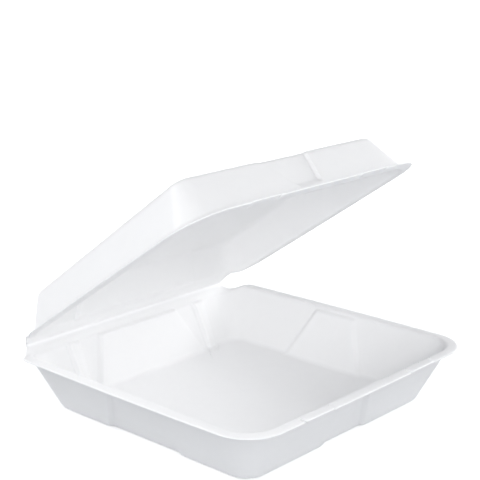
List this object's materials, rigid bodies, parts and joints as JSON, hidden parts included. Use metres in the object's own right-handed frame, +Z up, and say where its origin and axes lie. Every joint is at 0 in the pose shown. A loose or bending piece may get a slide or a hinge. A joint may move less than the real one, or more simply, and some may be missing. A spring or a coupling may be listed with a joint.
{
  "type": "hinged lid container",
  "caption": "Square white foam take-out container: a drafted tray with stepped wall panels and a matching lid that folds up about a pressed crease.",
  "frame": {"origin": "in the flat face that the tray stands on, midway between the front rim edge and the fold", "axes": "+X along the fold, -Y towards the front opening, +Z up"},
  "size_m": [0.241, 0.2341, 0.1848],
  "materials": {
    "foam": "satin"
  },
  "bodies": {
    "base_tray": {"base_tray": "foam"},
    "lid": {"lid": "foam"}
  },
  "joints": [
    {"name": "lid_fold", "type": "hinge", "parent": "base_tray", "child": "lid", "pos_m": [0, 0.11675, 0.04215], "axis": [-1, 0, 0], "range_deg": [-34.3, 145.7]}
  ]
}
